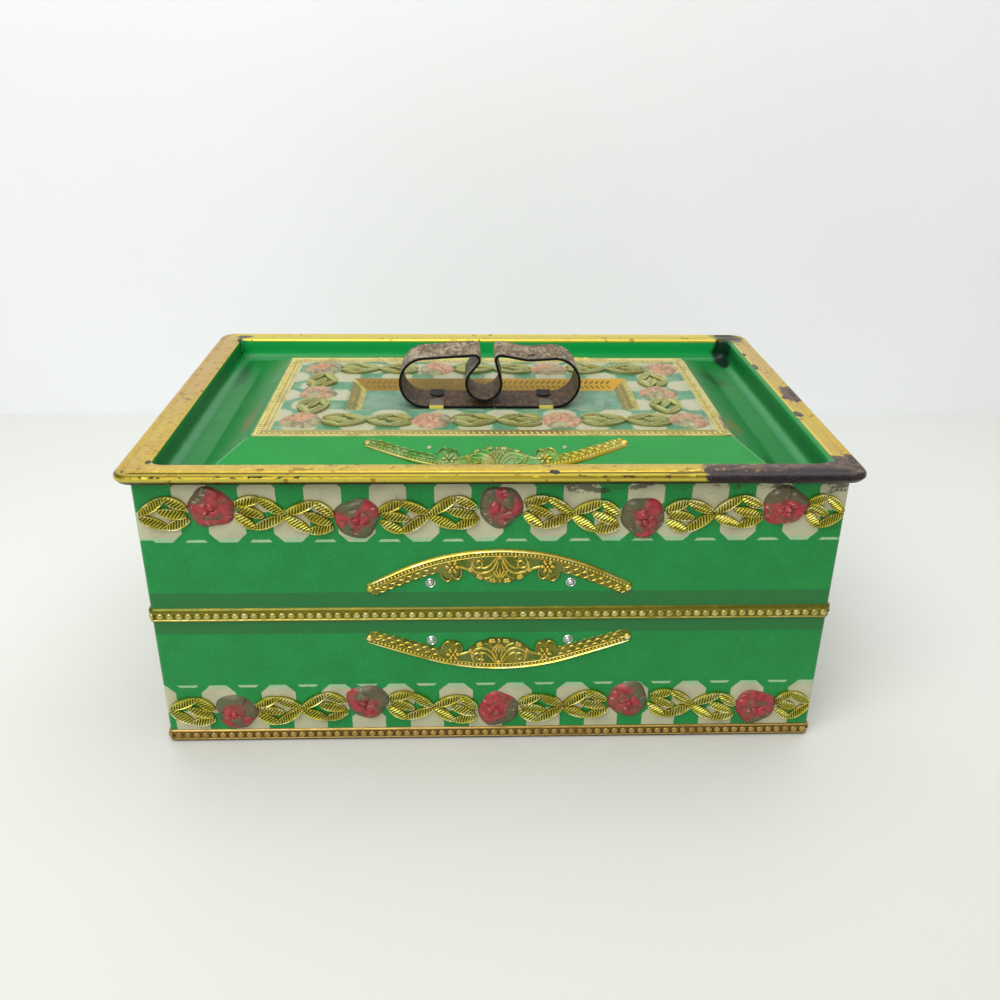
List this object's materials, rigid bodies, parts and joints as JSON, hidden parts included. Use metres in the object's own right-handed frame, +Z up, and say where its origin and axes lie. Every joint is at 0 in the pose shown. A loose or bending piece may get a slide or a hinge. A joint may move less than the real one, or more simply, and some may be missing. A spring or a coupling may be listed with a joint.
{
  "type": "sewing tin",
  "caption": "Rectangular printed and embossed tin for sewing things: a base tray, a lift-off upper tray and a lift-off lid with a rolled rim, a hipped raised panel and a bent strip handle.",
  "frame": {"origin": "middle of the footprint, on the surface the tin stands on", "axes": "+Z up, +X along the long side to the right, the printed front faces -Y"},
  "size_m": [0.2082, 0.1402, 0.1069],
  "materials": {
    "litho_tin": "lithographed tinplate, satin",
    "lacquered_tin": "gold lacquered tinplate",
    "aged_tin": "aged bare tinplate, mottled",
    "wire_steel": "drawn wire"
  },
  "bodies": {
    "base": {"base_wall": "litho_tin", "base_floor": "lacquered_tin", "base_collar": "lacquered_tin"},
    "tray": {"tray_wall": "litho_tin", "tray_floor": "lacquered_tin"},
    "lid": {"lid_panel": "litho_tin", "lid_rim_wire": "wire_steel", "handle_strip": "aged_tin"}
  },
  "joints": [
    {"name": "tray_lift", "type": "slide", "parent": "base", "child": "tray", "axis": [0, 0, 1], "range_m": [0, 0.06]},
    {"name": "lid_lift", "type": "slide", "parent": "tray", "child": "lid", "axis": [0, 0, 1], "range_m": [0, 0.05]}
  ]
}
